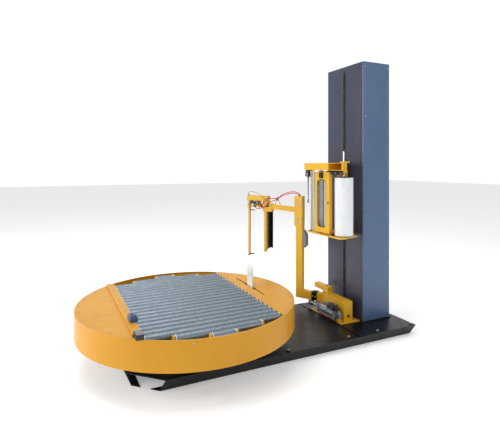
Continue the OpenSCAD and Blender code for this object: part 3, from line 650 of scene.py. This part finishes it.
# ---------------------------------------------------------------- mast
def add_mast():
    m = MAST
    seal = Piece("slot_seal", "base", "black_rubber", slot="black_rubber")
    for side in (-1, 1):
        for k in range(2):
            y0, y1 = sorted((m["slot_y"] + side * (5.4 + 1.2 * k), m["slot_y"] + side * 17))
            seal.box((m["x0"] - 1.6 - 1.2 * k, y0, 96), (m["x0"] + 0.5, y1, 2338), 0.4)
    seal.use("zinc_bolt")
    for side in (-1, 1):
        for z in range(160, 2330, 180):
            seal.screw((m["x0"] - 2.6, m["slot_y"] + side * 13, z), 2.6, (-1, 0, 0))
    seal.done()

    screws = Piece("mast_screws", "base", "zinc_bolt", slot="bare_steel")
    for y, way in ((m["y0"], -1), (m["y1"], 1)):
        for x in (m["x0"] + 26, m["x1"] - 26):
            for z in range(140, 2360, 440):
                screws.screw((x, y, z), 5, (0, way, 0))
    for y in (-232, -120, 112, 224):
        for z in (150, 780, 1410, 2040, 2320):
            screws.screw((m["x1"], y, z), 5, (1, 0, 0))
    for y in (-245, 237):
        for x in (m["x0"] + 26, m["x1"] - 26):
            screws.lathe((x, y, m["z1"]), [(0, -1), (6, -1), (6, -0.2), (0, 0)], sides=18)
    screws.done()

    skirt = Piece("mast_foot", "base", "black_paint", slot="black_paint")
    wide, top = 8, BASE_Z + 7
    skirt.box((m["x0"] - wide, m["y0"] - wide, BASE_Z), (m["x1"] + wide, m["y0"] - 0.2, top), 1)
    skirt.box((m["x0"] - wide, m["y1"] + 0.2, BASE_Z), (m["x1"] + wide, m["y1"] + wide, top), 1)
    skirt.box((m["x1"] + 0.2, m["y0"] - wide, BASE_Z), (m["x1"] + wide, m["y1"] + wide, top), 1)
    skirt.done()

    grille = Piece("rear_vents", "base", "mast_paint", slot="mast_paint")
    for row in range(7):
        z = 1960 + 34 * row
        grille.plate([(m["x1"] - 0.5, z), (m["x1"] + 9, z), (m["x1"] + 7.5, z + 3),
                      (m["x1"] - 0.5, z + 17)], -86, 78, "Y", 0.6)
    grille.done()

    chain = Piece("lift_chain", "base", "bare_steel", slot="bare_steel")
    x, z0, z1, r = 1690, 190, 2300, 38
    half = z1 - z0
    total = 2 * half + 2 * math.pi * r
    count = 356
    link = (17.5, 1.0, 6.4)
    for i in range(count):
        s = total * i / count
        if s < half:
            p, a = Vector((x - r, m["slot_y"], z0 + s)), math.pi / 2
        elif s < half + math.pi * r:
            a = (s - half) / r
            p = Vector((x - r * math.cos(a), m["slot_y"], z1 + r * math.sin(a)))
            a = math.pi / 2 - a
        elif s < 2 * half + math.pi * r:
            p, a = Vector((x + r, m["slot_y"], z1 - (s - half - math.pi * r))), -math.pi / 2
        else:
            a = (s - 2 * half - math.pi * r) / r
            p = Vector((x + r * math.cos(a), m["slot_y"], z0 - r * math.sin(a)))
            a = -math.pi / 2 - a
        chain.rod(p + Vector((0, -4.5, 0)), 2.6, 9, "Y", 0.3, 8)
        w = 3.4 if i % 2 else 4.6
        for side in (-1, 1):
            turn = Matrix.Translation(p + Vector((0, side * w, 0))) @ Matrix.Rotation(-a, 4, "Y")
            part = bmesh.new()
            bmesh.ops.create_cube(part, size=1)
            bmesh.ops.scale(part, vec=link, verts=part.verts)
            bmesh.ops.translate(part, vec=(6.2, 0, 0), verts=part.verts)
            bmesh.ops.bevel(part, geom=[e for e in part.edges if abs(
                e.verts[0].co.y - e.verts[1].co.y) > 0.5], offset=2.4, segments=1,
                affect="EDGES")
            chain._take(part, turn)
    chain.done()


# ---------------------------------------------------------------- film carriage
def add_carriage():
    z0, z1 = HOUSING_Z
    turn = Matrix.Translation((*ROLL, z1)) @ Matrix.Rotation(-0.455, 4, "Z")
    clamp = Piece("mandrel_clamp", "carriage", "yellow_paint", turn, "yellow_paint")
    clamp.tube((0, 0, 1), 33, 26.2, 13, edge=1)
    clamp.box((26, -14, 1), (48, 14, 14), 1.5)
    clamp.use("zinc_bolt").bolt((40, -14, 7.5), 5, (0, -1, 0))
    clamp.use("black_plastic").lathe((48, 0, 7.5), [(0, -1), (5, -1), (5, 8), (11, 10), (12, 20),
                                                    (9, 23), (0, 24)], (1, 0, 0), 24)
    clamp.done()

    top = Piece("housing_details", "carriage", "zinc_bolt", slot="bare_steel")
    for x, y in ((1222, -346), (1222, -150), (1222, 40), (1222, 190), (1350, -150), (1350, 40),
                 (1350, 190), (1480, 40), (1480, 190), (1410, -100)):
        top.screw((x, y, z1), 4.5)
    for y in (-140, -20, 100, 196):
        for z in (z0 + 12, z1 - 12):
            top.screw((1203, y, z), 3.2, (-1, 0, 0))
    top.use("black_plastic").tube((*ROLL, z1 + 7.5), 29, 9.4, 7, edge=1.2)
    top.done()

    rail = Piece("carriage_angle", "carriage", "black_paint", slot="black_paint")
    rail.box((1236, -316, 1380), (1242, -152, 1412), 1)
    rail.box((1236, -316, 1408), (1250, -152, 1413.7), 1)
    rail.box((1240, -316, 1408), (1246, -300, 1418), 0.8)
    rail.box((1240, -168, 1408), (1246, -152, 1418), 0.8)
    rail.use("zinc_bolt")
    for y in (-300, -232, -166):
        rail.bolt((1236, y, 1394), 6, (-1, 0, 0))
    rail.done()

    block = Piece("limit_switch", "carriage", "black_plastic")
    block.box((1206, 146, 1356), (1236, 206, 1402), 3)
    block.box((1212, 150, 1400), (1232, 202, 1417.8), 1.5)
    block.use("grey_plastic").box((1204, 154, 1364), (1207, 198, 1394), 1)
    block.tube((1238, 196, 1346), 9, 3.4, 12)
    block.use("black_plastic").box((1236, 186, 1358), (1248, 206, 1372), 1.5)
    block.use("zinc_bolt")
    for y in (158, 194):
        block.screw((1204, y, 1390), 2.6, (-1, 0, 0))
    block.done()

    eye = Piece("film_sensor", "carriage", "grey_plastic")
    eye.box((1226, 178, 1106), (1250, 198, 1138), 2.5)
    eye.use("black_plastic").tube((1238, 184, 1136), 8, 3, 10)
    eye.use("aluminium")
    eye.box((1246, 180, 1110), (1252, 196, 1134), 0.8)
    eye.box((1250, 184, PLATE_Z), (1254, 192, 1417.8), 0.8)
    eye.box((1250, 176, PLATE_Z), (1280, 194, PLATE_Z + 4), 0.8)
    eye.done()

    plate = Piece("plate_details", "carriage", "zinc_bolt", slot="bare_steel")
    for p in ((1222, -318), (1222, -200), (1222, 130), (1380, 180), (1480, -60), (1480, 40)):
        plate.screw((*p, PLATE_Z), 5)
    plate.use("black_plastic")
    plate.tube((*ROLL, PLATE_Z), 62, 52.4, 6, edge=1.5)
    plate.lathe((1250, -176, PLATE_Z), [(0, 0), (13, 0), (13, 16), (9, 20), (9, 24), (0, 24)])
    plate.use("red_hose").lathe((1250, -176, PLATE_Z + 22), [(0, 0), (11, 0), (12, 3), (12, 7),
                                                    (9, 10), (0, 11)])
    plate.done()

    door = Piece("door_fittings", "door", "black_plastic")
    door.box((DOOR_X - 24, -54, 1346), (DOOR_X - 0.05, -18, 1400), 5)
    door.box((DOOR_X - 28, -48, 1352), (DOOR_X - 22, -24, 1394), 3)
    door.lathe((DOOR_X, -128, 1130), [(0, -1), (9, -1), (9, 2), (6, 4), (6, 7), (0, 7.5)],
               (-1, 0, 0), 24)
    door.use("aluminium")
    for z in range(880, 1380, 92):
        door.tube((*HINGE, z), 11.6, 10.02, 64, edge=0.5)
    door.box((DOOR_X - 2.4, 78, 862), (DOOR_X - 0.05, 98, 1397), 0.6)
    door.use("zinc_bolt")
    for z in range(905, 1390, 92):
        door.screw((DOOR_X - 2.4, 86, z), 3.4, (-1, 0, 0))
    door.done()

    y0, y1, w0, w1, r = -92, 38, 905, 1332, 40
    loop = []
    for cy, cz, start in ((y1 - r, w1 - r, 0), (y0 + r, w1 - r, 90), (y0 + r, w0 + r, 180),
                          (y1 - r, w0 + r, 270)):
        for k in range(9):
            a = math.radians(start + 11.25 * k)
            loop.append((DOOR_X + 1.5, cy + r * math.cos(a), cz + r * math.sin(a)))
    line_piece("window_edging", "door", loop, 6.4, "black_rubber", closed=True)

    cap = Piece("mandrel_cap", "top_mandrel", "black_plastic")
    cap.lathe((*ROLL, 0), [(9.1, 1354.6), (51, 1354.6), (52, 1355.6), (52, 1360),
                                      (49, 1362.8), (30, 1363.2), (26, 1360.5), (9.1, 1361)],
              sides=48, hollow=True)
    cap.use("chrome").tube((*ROLL, 1360.4), 13, 9.02, 3, edge=0.8)
    cap.lathe((*ROLL, 1574), [(9.02, 0), (10.5, 1), (10.5, 6), (9.02, 7)],
              hollow=True)
    cap.done()

    core = Piece("film_core", "film_roll", "cardboard", slot="stretch_film")
    core.tube((*ROLL, 853.9), 43, 38.2, 500.2, edge=0.4, sides=48)
    core.done()
    edge = Piece("film_edges", "film_roll", "stretch_film", slot="stretch_film")
    for z, way in ((854, -1), (1354, 1)):
        profile = []
        for k in range(9):
            r = 44 + 4.4 * k
            profile += [(r, 0.02), (r + 2.2, 0.22)]
        profile += [(80.4, 0), (80.4, -2), (44, -2)]
        edge.lathe((*ROLL, z), profile, (0, 0, way), 64, True)
    edge.done()

    exit_caps = Piece("exit_roller_caps", "exit_roller", "black_plastic")
    for z in (847, 1410):
        exit_caps.tube((*EXIT, z), 16.8, 7.2, 7, edge=0.8)
    exit_caps.done()


# ---------------------------------------------------------------- swing arm
def add_arm():
    r0 = POST_R - POST_W / 2
    half = POST_T / 2

    clevis = Piece("rod_clevis", "arm", "black_paint", ARM, "black_paint")
    for side in (-1, 1):
        lo, hi = sorted((side * 25.1, side * 30))
        clevis.box((90, lo, 163), (146, hi, 243), 1.2)
    clevis.box((90, -30, 240.1), (146, 30, 245), 1.2)
    clevis.box((134, -14, 112), (146, 30, 166), 1.2)
    clevis.box((134, -14, 112), (200, 24, 118), 1.2)
    clevis.use("zinc_bolt").bolt((165.5, 10.7, 111.5), 9, (0, 0, -1))
    for r in (102, 132):
        clevis.bolt((r, 30, 200), 7, (0, 1, 0)).bolt((r, -30, 200), 7, (0, -1, 0))
    clevis.done()

    box = Piece("post_box", "arm", "grey_plastic", ARM)
    box.plate([(206, 672), (243, 672), (243, 824), (232, 824), (206, 780)], -25, 25, "Y", 1.5)
    box.use("black_plastic").tube((224, 0, 672), 10, 4, 14, (0, 0, -1))
    box.use("zinc_bolt")
    for z in (688, 770):
        box.screw((206, -16, z), 3.4, (-1, 0, 0)).screw((206, 16, z), 3.4, (-1, 0, 0))
    box.done()

    sleeve = Piece("sleeve_bolts", "arm", "zinc_bolt", ARM, "bare_steel")
    for side in (-1, 1):
        for r in (POST_R - 20, POST_R + 20):
            for z in (892, 940, 1066, 1118):
                sleeve.bolt((r, side * (half + 3.2), z), 9, (0, side, 0))
    for z in (890, 1128):
        sleeve.bolt((r0 - 3.2, 0, z), 8, (-1, 0, 0))
    sleeve.use("black_rubber").tube((POST_R, 0, POST_TOP - 1), 13, 8, 7, edge=1.2)
    sleeve.done()

    tie = Piece("hose_guide", "arm", "yellow_paint", ARM, "yellow_paint")
    for foot in (-34, 34):
        a, b = Vector((538 + foot, 4, 1056)), Vector((538 + foot * 0.16, 10, 1118))
        tie.rod(a, 4, (b - a).length, b - a, 1, 16)
    tie.box((530, 2, 1114), (546, 20, 1131), 2)
    tie.use("black_plastic").tube((533, 12, 1118), 17, 13.4, 10, "X", 1)
    tie.done()

    bar = Piece("wiper_bar", "wiper", "yellow_paint", ARM, "yellow_paint")
    bar.box((WIPER_R - WIPER_HALF, -WIPER_HALF, WIPER_Z[0]),
            (WIPER_R + WIPER_HALF, WIPER_HALF, WIPER_Z[1]), 1.4)
    bar.use("zinc_bolt")
    for z in (600, 690, 780, 870, 958):
        bar.bolt((WIPER_R, WIPER_HALF, z), 5, (0, 1, 0))
        bar.bolt((WIPER_R - WIPER_HALF, 0, z), 5, (-1, 0, 0))
    bar.use("black_plastic").tube((WIPER_R, 0, 1000), 12, 6.3, 8)
    bar.done()

    head = Piece("head_details", "arm", "black_plastic", ARM)
    for side in (-1, 1):
        y = side * 14
        for r in (718, 806):
            head.tube((r, y, 1034), 12.4, 10.05, 20, "X", 1)
        head.use("zinc_bolt").tube((826, y, 1034), 8, 5.3, 7, "X")
        head.use("black_plastic")
    for r in (726, 802):
        head.use("brass").rod((r, 20, 1034), 5, 8, "Y", 0.8, 16)
        head.use("black_plastic").rod((r, 24, 1034), 6.4, 8, "Y", 1, 20)
    head.use("black_plastic")
    head.box((748, 26, 1052), (782, 42, 1092), 2)
    head.box((786, 26, 1054), (824, 40, 1088), 2)
    head.box((828, 22, 1060), (862, 36, 1092), 2)
    head.use("grey_plastic").box((752, 41, 1058), (778, 46, 1086), 1.5)
    head.use("brass").rod((765, 34, 1052), 5, 8, (0, 0, -1), 0.8, 16)
    head.rod((805, 33, 1054), 5, 8, (0, 0, -1), 0.8, 16)
    head.use("black_plastic").box((905.5, -24, 1094), (908, 24, 1141), 0.8)
    head.use("zinc_bolt")
    for r in (668, 760, 880):
        head.bolt((r, 26, 1126), 6, (0, 1, 0)).bolt((r, -26, 1126), 6, (0, -1, 0))
    for z in (998, 1054):
        for r in (622, 694):
            head.bolt((r, 26, z), 6, (0, 1, 0))
    head.use("grey_plastic").rod((898, 8, 1144), 8, 12, edge=1.5, sides=20)
    head.rod((648, 28, 1052), 7, 9, edge=1, sides=20)
    head.done()

    bracket = Piece("cable_entry", "arm", "black_plastic", ARM)
    bracket.box((634, 25.5, 1034), (664, 40, 1056), 2)
    bracket.use("zinc_bolt").screw((640, 40, 1045), 2.6, (0, 1, 0))
    bracket.screw((658, 40, 1045), 2.6, (0, 1, 0))
    bracket.done()

    cutter = Piece("cutter_details", "cutter", "black_plastic", ARM)
    cutter.box((CUTTER_R - 12, -12, 506), (CUTTER_R + 12, 12, 516), 2)
    cutter.use("black_paint")
    cutter.box((CUTTER_R - 64, -5, 519), (CUTTER_R - 8, 5, 529), 1.5)
    cutter.use("white_plastic").lathe((CUTTER_R - 58, 0, 529), [(3.1, 0), (6, 0), (6, 5), (4.6, 7),
                                                               (6, 9), (4.4, 13), (3.1, 13)],
                                      hollow=True, sides=24)
    cutter.use("black_paint").box((CUTTER_R - 64, -5, 984), (CUTTER_R - 8, 5, 994), 1.5)
    cutter.use("white_plastic").rod((CUTTER_R - 58, 0, 972), 5, 13)
    cutter.use("zinc_bolt")
    for z in (560, 700, 840, 970):
        cutter.bolt((CUTTER_R, 10, z), 5, (0, 1, 0))
    cutter.done()
    line_piece("hot_wire", "cutter", [(CUTTER_R - 58, 0, 541), (CUTTER_R - 58, 0, 973)], 1.6,
               "bare_steel", ARM)


def add_pivot():
    x, y, z = CYL
    cylinder = Piece("cylinder_details", "cylinder", "aluminium", slot="aluminium")
    for k in range(5):
        cylinder.tube((x, -130 + 45 * k, z), 36, 34.02, 12, "Y", 2, 40)
    cylinder.use("zinc_bolt")
    for dx in (-30, 30):
        for dz in (-30, 30):
            cylinder.bolt((x + dx, y + 288, z + dz), 7, (0, 1, 0))
    cylinder.use("bare_steel").tube((x, y + 288, z), 17, 7.2, 10, "Y", 1.5)
    cylinder.use("black_plastic")
    cylinder.rod((1290, 72, 104), 7, 10, (0, 0, -1), 1, 20)
    cylinder.rod((1290, -128, 104), 7, 10, (0, 0, -1), 1, 20)
    cylinder.rod((1271, 78, 142), 7, 10, (-1, 0, 0), 1, 20)
    cylinder.box((1276, -172, 176), (1318, -36, 182), 1)
    cylinder.box((1278, -168, 181), (1314, -58, 226), 3)
    cylinder.use("grey_plastic").box((1280, -58, 186), (1312, -20, 222), 3)
    cylinder.use("black_plastic").rod((1279, -140, 198), 7, 8, (-1, 0, 0), 1, 20)
    cylinder.use("brass").rod((1296, -150, 226), 5, 9, edge=1, sides=16)
    cylinder.done()

    housing = Piece("pivot_details", "base", "zinc_bolt", slot="bare_steel")
    for px, py in ((1310, -218), (1475, -218), (1475, 205), (1330, 212)):
        housing.bolt((px, py, 88), 10)
    for hy in (-185, -130, 10, 70):
        housing.screw((1352, hy, 244), 4, (-1, 0, 0))
    housing.bolt((*PIVOT, 316), 14)
    housing.use("black_rubber").tube((*PIVOT, 250.6), 30, 15.2, 5, edge=1)
    housing.use("black_plastic").tube((1398, -206, 130), 13, 5, 10, "Y", 1)
    housing.use("yellow_paint")
    housing.plate([(70.5, 255.9), (70.5, 278), (34, 255.9)], 1392, 1408, "X", 0.8)
    housing.done()


# ---------------------------------------------------------------- floor and light
def add_world():
    """White beyond the rear side of the machine, a dimmer room everywhere else."""
    world = bpy.data.worlds.new("studio")
    world.use_nodes = True
    tree = world.node_tree
    coords = tree.nodes.new("ShaderNodeTexCoord")
    dot = tree.nodes.new("ShaderNodeVectorMath")
    dot.operation = "DOT_PRODUCT"
    dot.inputs[1].default_value = (0.44, 0.898, 0)
    tree.links.new(coords.outputs["Generated"], dot.inputs[0])
    ramp = tree.nodes.new("ShaderNodeMapRange")
    ramp.interpolation_type = "SMOOTHSTEP"
    for socket, value in (("From Min", 0.2), ("From Max", 0.7), ("To Min", 0.42),
                          ("To Max", 1.02)):
        ramp.inputs[socket].default_value = value
    tree.links.new(dot.outputs["Value"], ramp.inputs["Value"])
    tree.links.new(ramp.outputs[0], tree.nodes["Background"].inputs["Strength"])
    tree.nodes["Background"].inputs["Color"].default_value = (1, 1, 1, 1)
    bpy.context.scene.world = world


def add_stage():
    mesh = bpy.data.meshes.new("floor")
    s = 30
    mesh.from_pydata([(-s, -s, 0), (s, -s, 0), (s, s, 0), (-s, s, 0)], [], [(0, 1, 2, 3)])
    mesh.materials.append(MATERIALS["floor"])
    floor = bpy.data.objects.new("floor", mesh)
    bpy.context.scene.collection.objects.link(floor)

    def area(name, place, aim, size, power, colour=(1, 1, 1)):
        light = bpy.data.lights.new(name, "AREA")
        light.shape = "RECTANGLE"
        light.size, light.size_y = size
        light.energy = power
        light.color = colour
        obj = bpy.data.objects.new(name, light)
        obj.location = place
        obj.rotation_euler = (Vector(aim) - Vector(place)).to_track_quat("-Z", "Y").to_euler()
        bpy.context.scene.collection.objects.link(obj)

    area("key", (-6.5, 0.4, 3.0), (0.4, 0, 0.6), (3.5, 3.5), 300)
    area("top", (-0.5, 0.5, 6.5), (0.5, 0, 0), (5, 5), 200)
    area("side", (3.5, -6.0, 3.2), (1.2, 0, 1.0), (3, 3), 90, (0.9, 0.95, 1.0))
    add_world()
    bpy.context.scene.view_settings.view_transform = "Standard"


add_camera()
add_hoses()
dress_nodes()
add_table()
add_base()
add_mast()
add_carriage()
add_arm()
add_pivot()
add_stage()
